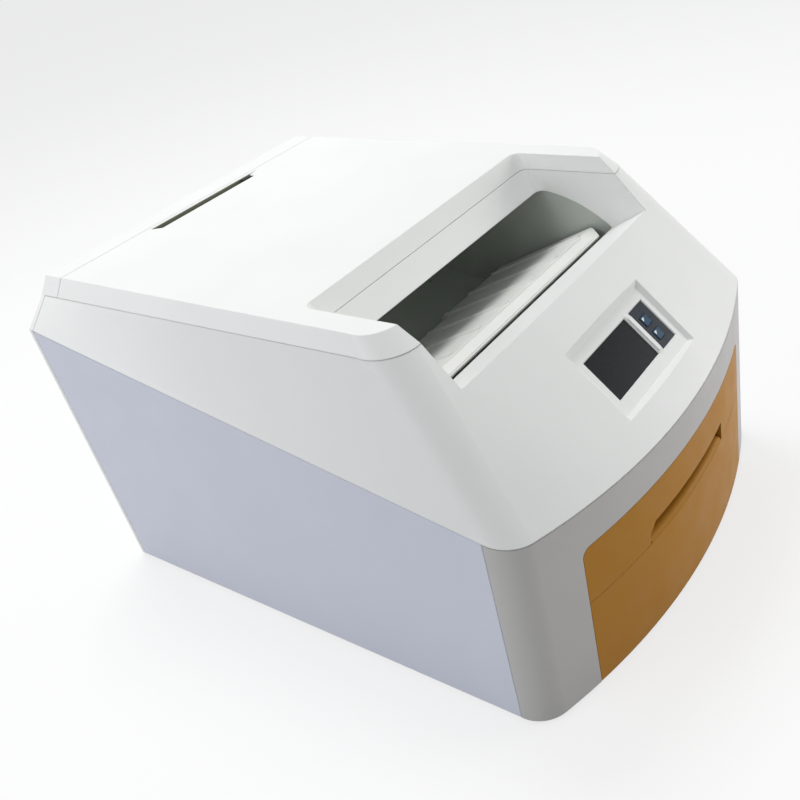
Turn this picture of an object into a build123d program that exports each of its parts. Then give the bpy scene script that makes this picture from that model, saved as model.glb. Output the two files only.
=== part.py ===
"""Desktop x-ray dry film printer, built as separate named pieces.

Millimetres. X runs to the right, Y to the rear and Z up from the floor; the
origin is on the floor under the middle of the cabinet.
"""
from build123d import *
from math import atan, cos, degrees, radians, sin, sqrt
import os

os.makedirs("parts", exist_ok=True)

# Overall size
WIDTH = 550
DEPTH = 712
FOOT_HEIGHT = 4
HALF = WIDTH / 2
FRONT = -DEPTH / 2
REAR = DEPTH / 2
BOTTOM = FOOT_HEIGHT
TOP = BOTTOM + 412

# Plan of the cabinet: a shallow front curve that runs into two corner arcs
FRONT_RADIUS = 773
CORNER_RADIUS = 39
ARC_CENTRE_Y = FRONT + FRONT_RADIUS
CORNER_X = HALF - CORNER_RADIUS
CORNER_Y = ARC_CENTRE_Y - sqrt((FRONT_RADIUS - CORNER_RADIUS) ** 2 - CORNER_X**2)

# Sloping joint between the lower panels and the hood
JOINT_RISE = 0.19
JOINT_TILT = degrees(atan(JOINT_RISE))
JOINT_Z = 301.5
JOINT_GAP = 0.8

# Seam between hood and lid
SEAM_Z = BOTTOM + 393
SEAM_GAP = 0.4
SEAM_SIDE_FRONT = 236
SEAM_SIDE_REAR = 242
SEAM_FRONT_Y = -190.5
LID_SIDE = 226.6
LID_FRONT_Y = -169.7
LID_REAR_Y = 319.1
BAND_Y = 319.7
STRIP_Y = 344.8

# Walls
SKIN = 3
SHEET = 1.5

# Recess over the film outlet, cut through hood and lid
RECESS_HALF = 196
RECESS_REAR = -64
RECESS_REAR_RUN = 0.74
RECESS_CORNER = 11
COLLAR = 1.6
SILL_FRONT = (-226, 354.5)
SILL_REAR = (-178, 326)
COLLAR_FOOT = (-178.5, 329)
COLLAR_BEND = (-131.7, 358.4)
COLLAR_END = (-81.6, 371.2)

# Orange fronts
FRONTS_HALF = 197.5
FRONTS_TOP = BOTTOM + 187
FRONTS_CORNER = 11
DRAWER_TOP = BOTTOM + 117
PANEL_GAP = 0.6
GRIP_LEFT = -98
GRIP_RIGHT = 95
GRIP_TOP = BOTTOM + 141

# Chassis
PLATE_X = 200
BASE_TOP = BOTTOM + SHEET


def front_y(x, inset=0):
    """Y of the front curve at x, for a wall face set inward by inset."""
    return ARC_CENTRE_Y - sqrt((FRONT_RADIUS - inset) ** 2 - x**2)


def joint_z(y):
    """Height of the sloping joint at y."""
    return JOINT_Z + JOINT_RISE * y


def corner_points(inset):
    """Start, middle and end of the right corner arc in plan."""
    radius = CORNER_RADIUS - inset
    reach = FRONT_RADIUS - CORNER_RADIUS
    toward_front = (CORNER_X / reach, (CORNER_Y - ARC_CENTRE_Y) / reach)
    mid = Vector(1 + toward_front[0], toward_front[1]).normalized()
    start = (CORNER_X + radius, CORNER_Y)
    middle = (CORNER_X + radius * mid.X, CORNER_Y + radius * mid.Y)
    end = (CORNER_X + radius * toward_front[0], CORNER_Y + radius * toward_front[1])
    return start, middle, end


def mirrored(point):
    """The same point on the left side."""
    return (-point[0], point[1])


def cabinet_outline(inset, rear, stretch=1):
    """Closed plan line of the cabinet; stretch lengthens Y on a tilted plane."""
    start, middle, end = [(p[0], p[1] * stretch) for p in corner_points(inset)]
    nose = (0, front_y(0, inset) * stretch)
    back = (start[0], rear * stretch)
    Line(back, start)
    ThreePointArc(start, middle, end)
    ThreePointArc(end, nose, mirrored(end))
    ThreePointArc(mirrored(end), mirrored(middle), mirrored(start))
    Line(mirrored(start), mirrored(back))
    Line(mirrored(back), back)


def ring_outline(side_front, side_rear, front, rear, corner_x, corner_y):
    """Closed line of an upper section with rounded front corners."""
    start = (side_front, front + corner_y)
    end = (side_front - corner_x, front)
    middle = (side_front - 0.27 * corner_x, front + 0.27 * corner_y)
    back = (side_rear, rear)
    Line(back, start)
    ThreePointArc(start, middle, end)
    Line(end, mirrored(end))
    ThreePointArc(mirrored(end), mirrored(middle), mirrored(start))
    Line(mirrored(start), mirrored(back))
    Line(mirrored(back), back)


def tilted_plane(shift=0):
    """Plane of the sloping joint, moved along its own normal."""
    tilt = radians(JOINT_TILT)
    normal = (0, -sin(tilt), cos(tilt))
    return Plane(origin=(0, 0, JOINT_Z), x_dir=(1, 0, 0), z_dir=normal).offset(shift)


def seam_sketch(z, inset):
    """Section of hood and lid at the seam."""
    with BuildSketch(Plane.XY.offset(z)) as section:
        with BuildLine():
            ring_outline(
                SEAM_SIDE_FRONT - inset,
                SEAM_SIDE_REAR - inset,
                SEAM_FRONT_Y + inset,
                REAR,
                35,
                46,
            )
        make_face()
    return section.sketch


def hood_form(inset_low, inset_high):
    """Ruled body between the sloping joint and the lid seam."""
    with BuildPart(mode=Mode.PRIVATE) as form:
        with BuildSketch(tilted_plane()):
            with BuildLine():
                cabinet_outline(inset_low, REAR, 1 / cos(radians(JOINT_TILT)))
            make_face()
        add(seam_sketch(SEAM_Z, inset_high))
        loft(ruled=True)
    return form.part


def cap_form(inset, z_low, z_high):
    """Ruled body of the lid level, from the seam to the flat top."""
    with BuildPart(mode=Mode.PRIVATE) as form:
        add(seam_sketch(z_low, inset))
        with BuildSketch(Plane.XY.offset(z_high)):
            with BuildLine():
                ring_outline(
                    LID_SIDE - inset,
                    LID_SIDE - inset,
                    LID_FRONT_Y + inset,
                    REAR,
                    29,
                    39,
                )
            make_face()
        loft(ruled=True)
    return form.part


def slab(y_from, y_to):
    """Block across the whole cabinet between two depths, used to part shells."""
    with BuildPart(mode=Mode.PRIVATE) as block:
        with BuildSketch(Plane.XZ.offset(-y_to)):
            Rectangle(2 * WIDTH, 2 * TOP)
        extrude(amount=y_to - y_from)
    return block.part


def box_between(low, high):
    """Plain block between two corners."""
    with BuildPart(mode=Mode.PRIVATE) as block:
        with BuildSketch(Plane.XY.offset(low[2])):
            with BuildLine():
                Polyline(
                    (low[0], low[1]),
                    (high[0], low[1]),
                    (high[0], high[1]),
                    (low[0], high[1]),
                    close=True,
                )
            make_face()
        extrude(amount=high[2] - low[2])
    return block.part


def recess_form(grow):
    """Body of the outlet recess, rounded at the rear; grow moves its faces outward."""
    with BuildPart(mode=Mode.PRIVATE) as form:
        for z in (SEAM_Z - 120, SEAM_Z + 20):
            half = RECESS_HALF + grow
            back = RECESS_REAR + (z - SEAM_Z) * RECESS_REAR_RUN + 1.24 * grow
            with BuildSketch(Plane.XY.offset(z)):
                with BuildLine():
                    Polyline((-half, FRONT), (half, FRONT), (half, back), (-half, back), close=True)
                plan = make_face()
                fillet(plan.vertices().group_by(Axis.Y)[-1], radius=RECESS_CORNER + grow)
        loft(ruled=True)
    return form.part


def across(*points):
    """Prism right across the cabinet on a closed side outline of (y, z) points."""
    with BuildPart(mode=Mode.PRIVATE) as prism:
        with BuildSketch(Plane.YZ.offset(-HALF)):
            with BuildLine():
                Polyline(*points, close=True)
            make_face()
        extrude(amount=WIDTH)
    return prism.part


def sill_z(y):
    """Height of the sill, which falls from the front slope toward the ramp."""
    fall = (SILL_REAR[1] - SILL_FRONT[1]) / (SILL_REAR[0] - SILL_FRONT[0])
    return SILL_FRONT[1] + fall * (y - SILL_FRONT[0])


def outlet_cut():
    """Everything taken out of the hood above the sill and behind it."""
    above = across(
        (FRONT, sill_z(FRONT)),
        SILL_REAR,
        (SILL_REAR[0], SEAM_Z - 110),
        (0, SEAM_Z - 110),
        (0, TOP + 60),
        (FRONT, TOP + 60),
    )
    return recess_form(0) & above


def outlet_collar():
    """Upright walls round the outlet, their lower edge an arc that rises to the rear."""
    with BuildPart(mode=Mode.PRIVATE) as collar:
        with BuildSketch(Plane.YZ.offset(-HALF)):
            with BuildLine():
                Polyline(
                    COLLAR_END,
                    (0, COLLAR_END[1]),
                    (0, TOP + 30),
                    (FRONT, TOP + 30),
                    (FRONT, sill_z(FRONT) - SKIN),
                    (COLLAR_FOOT[0], sill_z(COLLAR_FOOT[0]) - SKIN),
                    COLLAR_FOOT,
                )
                ThreePointArc(COLLAR_FOOT, COLLAR_BEND, COLLAR_END)
            make_face()
        extrude(amount=WIDTH)
        add(recess_form(COLLAR), mode=Mode.INTERSECT)
    sill = across(
        (FRONT, sill_z(FRONT)),
        SILL_REAR,
        (SILL_REAR[0], SILL_REAR[1] - SKIN),
        (FRONT, sill_z(FRONT) - SKIN),
    )
    return collar.part + (sill & recess_form(COLLAR))


# Screen recess on the front slope
SLOPE = degrees(atan((SEAM_Z - joint_z(FRONT)) / (SEAM_FRONT_Y - FRONT)))
PANEL_CENTRE = (6.4, -295.9, 292)
PANEL_DEPTH = 5.5
PANEL_HALF = (82, 47)
PANEL_BEVEL = 6
LCD_CENTRE = (-19, 0.4)
LCD_SIZE = (92, 52)
KEYS_CENTRE = (52.8, 0.2)
KEYS_SIZE = (30, 53)
KEY_SIZE = 12
KEY_X = 50.3
KEY_ROWS = (8, -11.5)
WINDOW_SUNK = 1.5
STRIP_SUNK = 0.9
OPENING_BEVEL = 1.2
DIVIDER_X = 32.4


def panel_plane(depth=0):
    """Plane parallel to the front slope, depth below its surface."""
    tilt = radians(SLOPE)
    normal = (0, -sin(tilt), cos(tilt))
    return Plane(origin=PANEL_CENTRE, x_dir=(1, 0, 0), z_dir=normal).offset(-depth)


def panel_form(grow):
    """Body of the screen recess, its walls leaning outward."""
    lift = 12
    with BuildPart(mode=Mode.PRIVATE) as form:
        with BuildSketch(panel_plane(PANEL_DEPTH + grow)):
            Rectangle(
                2 * (PANEL_HALF[0] - PANEL_BEVEL + grow),
                2 * (PANEL_HALF[1] - PANEL_BEVEL + grow),
            )
        flare = PANEL_BEVEL * lift / PANEL_DEPTH
        with BuildSketch(panel_plane(PANEL_DEPTH - lift)):
            Rectangle(
                2 * (PANEL_HALF[0] - PANEL_BEVEL + flare + grow),
                2 * (PANEL_HALF[1] - PANEL_BEVEL + flare + grow),
            )
        loft(ruled=True)
    return form.part


# Base pan with folded edges
PAN_X = 269.5
PAN_FRONT = -276
PAN_NOSE = -318
with BuildPart() as base_pan:
    with BuildSketch(Plane.XY.offset(BOTTOM)):
        with BuildLine():
            Polyline(
                (-PAN_X, REAR - 12),
                (-PAN_X, PAN_FRONT),
                (-FRONTS_HALF, PAN_FRONT),
                (-FRONTS_HALF, PAN_NOSE),
                (FRONTS_HALF, PAN_NOSE),
                (FRONTS_HALF, PAN_FRONT),
                (PAN_X, PAN_FRONT),
                (PAN_X, REAR - 12),
                close=True,
            )
        make_face()
    extrude(amount=SHEET)
    for sign in (-1, 1):
        near, far = sorted((sign * PAN_X, sign * (PAN_X - SHEET)))
        add(box_between((near, PAN_FRONT, BOTTOM), (far, REAR - 12, BOTTOM + 16)))
    add(box_between((-PAN_X, REAR - 13.5, BOTTOM), (PAN_X, REAR - 12, BOTTOM + 16)))
base_pan.part.label = "base_pan"
export_step(base_pan.part, "parts/base_pan.step")

# Rubber feet
FOOT_X, FOOT_Y = 225, 270
with BuildPart() as feet:
    with BuildSketch(Plane.XY):
        with GridLocations(2 * FOOT_X, 2 * FOOT_Y, 2, 2):
            Circle(16)
    extrude(amount=FOOT_HEIGHT)
    chamfer(feet.edges().group_by(Axis.Z)[0], length=1)
feet.part.label = "feet"
export_step(feet.part, "parts/feet.step")


# Side panels: flat sheet with a return flange all round
def side_panel(sign):
    """One side panel; sign is -1 for the left and 1 for the right."""
    front_edge = CORNER_Y + 1.2
    rear_edge = STRIP_Y - 0.4
    outline = [
        (front_edge, BOTTOM + 0.5),
        (rear_edge, BOTTOM + 0.5),
        (rear_edge, joint_z(rear_edge) - JOINT_GAP),
        (front_edge, joint_z(front_edge) - JOINT_GAP),
    ]
    plane = Plane(origin=(sign * HALF, 0, 0), x_dir=(0, 1, 0), z_dir=(1, 0, 0))
    with BuildPart(mode=Mode.PRIVATE) as panel:
        with BuildSketch(plane):
            with BuildLine():
                Polyline(*outline, close=True)
            make_face()
        extrude(amount=-sign * 5)
        with BuildSketch(plane.offset(-sign * SHEET)):
            with BuildLine():
                Polyline(*outline, close=True)
            make_face()
            offset(amount=-SHEET)
        extrude(amount=-sign * 5, mode=Mode.SUBTRACT)
        chamfer(panel.faces().sort_by(Axis.X)[-1 if sign > 0 else 0].edges(), length=0.5)
    return panel.part


for side_name, side_sign in (("left", -1), ("right", 1)):
    side = side_panel(side_sign)
    side.label = "side_panel_" + side_name
    export_step(side, "parts/side_panel_" + side_name + ".step")

# Front cover: portal round the orange fronts, wrapping both corners
with BuildPart() as front_cover:
    with BuildSketch(Plane.XY.offset(BOTTOM + 0.5)):
        with BuildLine():
            cabinet_outline(0, CORNER_Y + 0.6)
        make_face()
    extrude(amount=TOP)
    with BuildSketch(Plane.XY.offset(BOTTOM)):
        with BuildLine():
            cabinet_outline(SKIN, CORNER_Y + 2)
        make_face()
    extrude(amount=TOP + 5, mode=Mode.SUBTRACT)
    split(bisect_by=tilted_plane(-JOINT_GAP), keep=Keep.BOTTOM)
    lining = FRONTS_HALF + PANEL_GAP
    for sign in (-1, 1):
        with BuildSketch(Plane.XY.offset(BOTTOM + 0.5)):
            with BuildLine():
                near, far = sign * lining, sign * (lining + SKIN)
                Polyline(
                    (near, front_y(lining, 1)),
                    (far, front_y(lining, 1)),
                    (far, -304),
                    (near, -304),
                    close=True,
                )
            make_face()
        extrude(amount=FRONTS_TOP - BOTTOM)
    with BuildSketch(Plane.XZ.offset(-FRONT + 10)):
        with BuildLine():
            Polyline(
                (-lining, BOTTOM - 1),
                (lining, BOTTOM - 1),
                (lining, FRONTS_TOP + PANEL_GAP),
                (-lining, FRONTS_TOP + PANEL_GAP),
                close=True,
            )
        opening_face = make_face()
        fillet(opening_face.vertices().group_by(Axis.Y)[-1], radius=FRONTS_CORNER)
    extrude(amount=-70, mode=Mode.SUBTRACT)
front_cover.part.label = "front_cover"
export_step(front_cover.part, "parts/front_cover.step")


def curved_front(half, inset, back):
    """Sketch outline between the front curve and a flat back line."""
    Line((half, back), (half, front_y(half, inset)))
    ThreePointArc((half, front_y(half, inset)), (0, front_y(0, inset)), (-half, front_y(half, inset)))
    Line((-half, front_y(half, inset)), (-half, back))
    Line((-half, back), (half, back))


# Upper orange fascia with the finger pocket behind its cut-out
FASCIA_LOW = DRAWER_TOP + PANEL_GAP
POCKET_BACK = -316
with BuildPart() as fascia:
    with BuildSketch(Plane.XY.offset(FASCIA_LOW)):
        with BuildLine():
            curved_front(FRONTS_HALF, 0, -318)
        make_face()
    extrude(amount=FRONTS_TOP - FASCIA_LOW)
    fillet(fascia.edges().filter_by(Axis.Y).group_by(Axis.Z)[-1], radius=FRONTS_CORNER - PANEL_GAP)
    with BuildSketch(Plane.XY.offset(FASCIA_LOW + SKIN)):
        with BuildLine():
            curved_front(FRONTS_HALF - SKIN, SKIN, -310)
        make_face()
    extrude(amount=FRONTS_TOP - FASCIA_LOW - 2 * SKIN, mode=Mode.SUBTRACT)
    add(box_between(
        (GRIP_LEFT - 2, front_y(100, SKIN / 2), FASCIA_LOW + SKIN),
        (GRIP_RIGHT + 2, POCKET_BACK, GRIP_TOP + 2),
    ))
    with BuildSketch(Plane.XZ.offset(-FRONT + 10)):
        with BuildLine():
            Polyline(
                (GRIP_LEFT, FASCIA_LOW - 1),
                (GRIP_RIGHT, FASCIA_LOW - 1),
                (GRIP_RIGHT, GRIP_TOP),
                (GRIP_LEFT + 12, GRIP_TOP),
                (GRIP_LEFT, GRIP_TOP - 12),
                close=True,
            )
        make_face()
    extrude(amount=-(POCKET_BACK - 2 - FRONT) - 10, mode=Mode.SUBTRACT)
fascia.part.label = "upper_fascia"
export_step(fascia.part, "parts/upper_fascia.step")

# Drawer front: curved skin, two shelves and the rolled grip lip
TRAY_FRONT = -326
LIP_RADIUS = 8
LIP_TOP = DRAWER_TOP + 6
with BuildPart() as drawer_front:
    with BuildSketch(Plane.XY.offset(BOTTOM + 1)):
        with BuildLine():
            curved_front(FRONTS_HALF, 0, TRAY_FRONT)
        make_face()
    extrude(amount=DRAWER_TOP - BOTTOM - 1)
    with BuildSketch(Plane.XY.offset(BOTTOM + 1 + SKIN)):
        with BuildLine():
            curved_front(FRONTS_HALF - SKIN, SKIN, TRAY_FRONT + 5)
        make_face()
    extrude(amount=DRAWER_TOP - BOTTOM - 1 - 2 * SKIN, mode=Mode.SUBTRACT)
    lip_half = (GRIP_RIGHT - GRIP_LEFT - 4) / 2 / FRONT_RADIUS
    lip_start = (GRIP_RIGHT + GRIP_LEFT) / 2 / FRONT_RADIUS - lip_half
    radial = (sin(lip_start), -cos(lip_start), 0)
    lip_plane = Plane(
        origin=(0, ARC_CENTRE_Y, 0),
        x_dir=radial,
        z_dir=Vector(*radial).cross(Vector(0, 0, 1)),
    )
    with BuildSketch(lip_plane):
        with BuildLine():
            foot = (FRONT_RADIUS, DRAWER_TOP - SKIN)
            low = (FRONT_RADIUS, LIP_TOP - LIP_RADIUS)
            turn_drop = LIP_RADIUS * (1 - sqrt(0.5))
            turn = (FRONT_RADIUS - turn_drop, LIP_TOP - turn_drop)
            crown = (FRONT_RADIUS - LIP_RADIUS, LIP_TOP)
            Line(foot, low)
            ThreePointArc(low, turn, crown)
            Polyline(crown, (FRONT_RADIUS - 17, LIP_TOP), (FRONT_RADIUS - 17, foot[1]), foot)
        make_face()
    revolve(axis=Axis((0, ARC_CENTRE_Y, 0), (0, 0, 1)), revolution_arc=degrees(2 * lip_half))
drawer_front.part.label = "drawer_front"
export_step(drawer_front.part, "parts/drawer_front.step")

# Hood: sloping shell with the outlet recess and the screen recess let in
PANEL_FLOOR = 2.5


def panel_opening(centre, size):
    """Opening through the floor of the screen recess, bevelled all round."""
    fit = 0.2
    with BuildPart(mode=Mode.PRIVATE) as opening:
        with BuildSketch(panel_plane(PANEL_DEPTH + 8)):
            with Locations(centre):
                Rectangle(size[0] + 2 * fit, size[1] + 2 * fit)
        extrude(amount=12)
        for depth, spread in ((OPENING_BEVEL, fit), (0, fit + OPENING_BEVEL)):
            with BuildSketch(panel_plane(PANEL_DEPTH + depth)):
                with Locations(centre):
                    Rectangle(size[0] + 2 * spread, size[1] + 2 * spread)
        loft(ruled=True)
    return opening.part


with BuildPart() as hood:
    add(hood_form(0, 0))
    add(hood_form(4, 5), mode=Mode.SUBTRACT)
    add(outlet_collar() & hood_form(0, 0))
    add(panel_form(PANEL_FLOOR) & hood_form(0, 0))
    add(outlet_cut(), mode=Mode.SUBTRACT)
    add(panel_form(0), mode=Mode.SUBTRACT)
    for centre, size in ((LCD_CENTRE, LCD_SIZE), (KEYS_CENTRE, KEYS_SIZE)):
        add(panel_opening(centre, size), mode=Mode.SUBTRACT)
    with BuildSketch(panel_plane(PANEL_DEPTH + 1)):
        with Locations((DIVIDER_X, LCD_CENTRE[1])):
            RectangleRounded(6, LCD_SIZE[1] - 2, 2.9)
    extrude(amount=2.4)
    add(slab(STRIP_Y - 0.4, REAR + 20), mode=Mode.SUBTRACT)
hood.part.label = "hood"
export_step(hood.part, "parts/hood.step")


def lid_recess(grow):
    """Body of the outlet recess where it passes through the lid."""
    with BuildPart(mode=Mode.PRIVATE) as form:
        for z in (SEAM_Z - 10, TOP + 10):
            rise = (z - SEAM_Z) / (TOP - SEAM_Z)
            half = RECESS_HALF + 3 * rise + grow
            back = RECESS_REAR + 13.5 * rise + 1.2 * grow
            with BuildSketch(Plane.XY.offset(z)):
                with BuildLine():
                    Polyline((-half, FRONT), (half, FRONT), (half, back), (-half, back), close=True)
                plan = make_face()
                fillet(plan.vertices().group_by(Axis.Y)[-1], radius=RECESS_CORNER + grow)
        loft(ruled=True)
    return form.part


# Lid: flat top with a chamfered rim, open underneath, notch at the rear edge
LID_LOW = SEAM_Z + SEAM_GAP
NOTCH = (-92.8, 86)
NOTCH_FRONT = 298.5
NOTCH_REAR = 312.7
NOTCH_SLANT = 8
DISH_END = 101.6
DISH_DEEP = 2
NOTCH_FLOOR = 408.5
LINER = 2
lid_outer = cap_form(0, LID_LOW, TOP)
with BuildPart() as lid:
    add(lid_outer)
    add(cap_form(3.5, LID_LOW, TOP - SKIN), mode=Mode.SUBTRACT)
    add(lid_recess(SKIN) & lid_outer)
    add(lid_recess(0), mode=Mode.SUBTRACT)
    add(slab(LID_REAR_Y - SKIN, LID_REAR_Y) & lid_outer)
    add(slab(LID_REAR_Y, REAR + 20), mode=Mode.SUBTRACT)
    with BuildSketch(Plane.XY.offset(NOTCH_FLOOR - LINER)):
        with BuildLine():
            Polyline(
                (NOTCH[0], NOTCH_REAR),
                (NOTCH[0] + NOTCH_SLANT, NOTCH_FRONT),
                (NOTCH[1], NOTCH_FRONT),
                (NOTCH[1], NOTCH_REAR),
                close=True,
            )
        make_face()
    extrude(amount=30, mode=Mode.SUBTRACT)
    with BuildSketch(Plane.XZ.offset(-NOTCH_REAR)):
        with BuildLine():
            Polyline(
                (NOTCH[1] - 1, TOP - DISH_DEEP),
                (NOTCH[1], TOP - DISH_DEEP),
                (DISH_END, TOP),
                (DISH_END, TOP + 5),
                (NOTCH[1] - 1, TOP + 5),
                close=True,
            )
        make_face()
    extrude(amount=NOTCH_REAR - NOTCH_FRONT, mode=Mode.SUBTRACT)
lid.part.label = "lid"
export_step(lid.part, "parts/lid.step")

# Liner of the notch, with lugs for the lock lever underneath
LEVER_X = (67, 81)
LEVER_PIVOT = (307.5, 397)
LINER_BACK = 314.5
LINER_FACE = 311.2
LEVER_SLOT = (301.5, 310.5)
LUG_THICK = 3
LUG_LOW = 392.5
LEVER_PIN = 1.5
with BuildPart() as notch_liner:
    add(box_between(
        (NOTCH[0] - 3, NOTCH_FRONT - 2.5, NOTCH_FLOOR - LINER),
        (NOTCH[1] + 3, LINER_BACK, TOP - SKIN),
    ))
    add(box_between(
        (NOTCH[0] - 1, NOTCH_FRONT - 0.5, NOTCH_FLOOR),
        (NOTCH[1] + 1, LINER_FACE, TOP),
    ), mode=Mode.SUBTRACT)
    add(box_between(
        (NOTCH[0] + 1, LINER_FACE, TOP - SKIN - 1),
        (NOTCH[1] - 0.2, NOTCH_REAR - 0.2, TOP - 0.3),
    ))
    add(box_between(
        (LEVER_X[0] + 1, LEVER_SLOT[0], NOTCH_FLOOR - LINER),
        (LEVER_X[1] - 1, LEVER_SLOT[1], TOP),
    ), mode=Mode.SUBTRACT)
    for lug in (LEVER_X[0] - LUG_THICK, LEVER_X[1]):
        add(box_between(
            (lug, LEVER_PIVOT[0] - 4.5, LUG_LOW),
            (lug + LUG_THICK, LEVER_PIVOT[0] + 4.5, NOTCH_FLOOR - LINER),
        ))
    with BuildSketch(Plane.YZ.offset(LEVER_X[0] - LUG_THICK)):
        with Locations(LEVER_PIVOT):
            Circle(LEVER_PIN + 0.06)
    extrude(amount=LEVER_X[1] - LEVER_X[0] + 2 * LUG_THICK, mode=Mode.SUBTRACT)
notch_liner.part.label = "notch_liner"
export_step(notch_liner.part, "parts/notch_liner.step")

# Lock lever: finger pad in the notch, stem through the liner, hook below
PAD_TOP = TOP - 0.2
STEM_Y = (305.5, 309.5)
HOOK_Z = (381, 384)
HOOK_REACH = 3.1
with BuildPart() as lock_lever:
    with BuildSketch(Plane.YZ.offset(LEVER_X[0] + 2)):
        with BuildLine():
            Polyline(
                (STEM_Y[0], PAD_TOP - 1),
                (STEM_Y[1], PAD_TOP - 1),
                (STEM_Y[1], HOOK_Z[1]),
                (STEM_Y[1] + HOOK_REACH, HOOK_Z[1]),
                (STEM_Y[1] + HOOK_REACH, HOOK_Z[0]),
                (STEM_Y[0], HOOK_Z[0]),
                close=True,
            )
        make_face()
    extrude(amount=LEVER_X[1] - LEVER_X[0] - 4)
    add(box_between(
        (LEVER_X[0] - 1, STEM_Y[0] - 2, PAD_TOP - 4),
        (LEVER_X[1] + 1, STEM_Y[1], PAD_TOP),
    ))
    fillet(lock_lever.edges().filter_by(Axis.X).group_by(Axis.Z)[-1], radius=1.2)
    with BuildSketch(Plane.YZ.offset(LEVER_X[0] - LUG_THICK)):
        with Locations(LEVER_PIVOT):
            Circle(LEVER_PIN)
    extrude(amount=LEVER_X[1] - LEVER_X[0] + 2 * LUG_THICK)
lock_lever.part.label = "lid_lock_lever"
export_step(lock_lever.part, "parts/lid_lock_lever.step")

# Lid hinge: goose-neck arms on the lid, shouldered pins on the chassis
HINGE = (-193, 359)
HINGE_PIN = 3
ARM_X = 211
ARM_THICK = 3


def hinge_arm(sign):
    """Goose-neck arm that passes under the hood rim to the hinge pin."""
    with BuildPart(mode=Mode.PRIVATE) as arm:
        with BuildSketch(Plane.YZ.offset(sign * ARM_X)):
            with BuildLine():
                Polyline(
                    (HINGE[0], HINGE[1] + 7),
                    (HINGE[0], HINGE[1] - 7),
                    (-136, 346),
                    (-122, 360),
                    (-122, TOP - SKIN),
                    (-148, TOP - SKIN),
                    (-148, 405),
                    (-134, 398),
                    (-134, 366),
                    (-140, 359),
                    close=True,
                )
            make_face()
            with Locations(HINGE):
                Circle(7)
            with Locations(HINGE):
                Circle(HINGE_PIN + 0.06, mode=Mode.SUBTRACT)
        extrude(amount=sign * ARM_THICK)
        near, far = sorted((sign * ARM_X, sign * (ARM_X - 9)))
        add(box_between((near, -148, TOP - SKIN - 2), (far, -122, TOP - SKIN)))
    return arm.part


for side_name, side_sign in (("left", -1), ("right", 1)):
    arm_part = hinge_arm(side_sign)
    arm_part.label = "hinge_arm_" + side_name
    export_step(arm_part, "parts/hinge_arm_" + side_name + ".step")

with BuildPart() as hinge_pins:
    for sign in (-1, 1):
        with BuildSketch(Plane.YZ.offset(sign * (PLATE_X + SHEET))):
            with Locations(HINGE):
                Circle(6)
        extrude(amount=sign * (ARM_X - PLATE_X - SHEET - 0.4))
        with BuildSketch(Plane.YZ.offset(sign * (PLATE_X + SHEET))):
            with Locations(HINGE):
                Circle(HINGE_PIN)
        extrude(amount=sign * (ARM_X + ARM_THICK + 2 - PLATE_X - SHEET))
        with BuildSketch(Plane.YZ.offset(sign * (ARM_X + ARM_THICK + 0.4))):
            with Locations(HINGE):
                Circle(5)
        extrude(amount=sign * 1.6)
hinge_pins.part.label = "hinge_pins"
export_step(hinge_pins.part, "parts/hinge_pins.step")

# Rear cover: back panel whose rim wraps the sides and carries the top band
BACK_FACE = REAR - SKIN
FAN = (120, 205)
FAN_OPENING = 36
INLET = (-165, 62)
ROCKER = (-128, 62)
PORT = (-90, 60)
SCREW_PLACES = [(x, z) for x in (-258, 258) for z in (24, 190, 330)]


def lower_block(inset, y_from, y_to):
    """Straight part of the rear cover below the sloping joint."""
    with BuildPart(mode=Mode.PRIVATE) as block:
        add(box_between(
            (-HALF + inset, y_from, BOTTOM + 0.5 + inset),
            (HALF - inset, y_to, TOP),
        ))
        split(bisect_by=tilted_plane(), keep=Keep.BOTTOM)
    return block.part


with BuildPart() as rear_cover:
    add(lower_block(0, STRIP_Y, REAR))
    add(hood_form(0, 0) & slab(STRIP_Y, REAR))
    add(cap_form(0, SEAM_Z, TOP) & slab(STRIP_Y, REAR))
    chamfer(rear_cover.faces().sort_by(Axis.Y)[-1].edges(), length=5)
    add(cap_form(0, LID_LOW, TOP) & slab(BAND_Y, STRIP_Y))
    add(lower_block(SKIN, STRIP_Y - 1, BACK_FACE), mode=Mode.SUBTRACT)
    add(hood_form(4, 5) & slab(STRIP_Y - 1, BACK_FACE), mode=Mode.SUBTRACT)
    add(cap_form(5, SEAM_Z, TOP - SKIN) & slab(BAND_Y - 5, BACK_FACE), mode=Mode.SUBTRACT)
    add(box_between((-NOTCH[1] - 5, BAND_Y, LID_LOW), (NOTCH[1] + 5, BAND_Y + 1.5, TOP - 1)))
    with BuildSketch(Plane.XZ.offset(-REAR)):
        with Locations(FAN):
            for row in range(-4, 5):
                rise = 8 * row
                with Locations((0, rise)):
                    SlotOverall(2 * sqrt(FAN_OPENING**2 - rise**2), 4)
        with Locations((-110, 300), (110, 300)):
            with GridLocations(0, 10, 1, 5):
                SlotOverall(120, 4)
        with Locations(INLET):
            Rectangle(27.4, 20.4)
        with Locations(ROCKER):
            Rectangle(19.4, 28.4)
        with Locations(PORT):
            Rectangle(18.4, 15.4)
        with Locations(*SCREW_PLACES):
            Circle(1.9)
    extrude(amount=SKIN + 1, mode=Mode.SUBTRACT)
    with BuildSketch(Plane.XZ.offset(-REAR)):
        with Locations(*SCREW_PLACES):
            Circle(4)
    extrude(amount=1.8, mode=Mode.SUBTRACT)
rear_cover.part.label = "rear_cover"
export_step(rear_cover.part, "parts/rear_cover.step")

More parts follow.
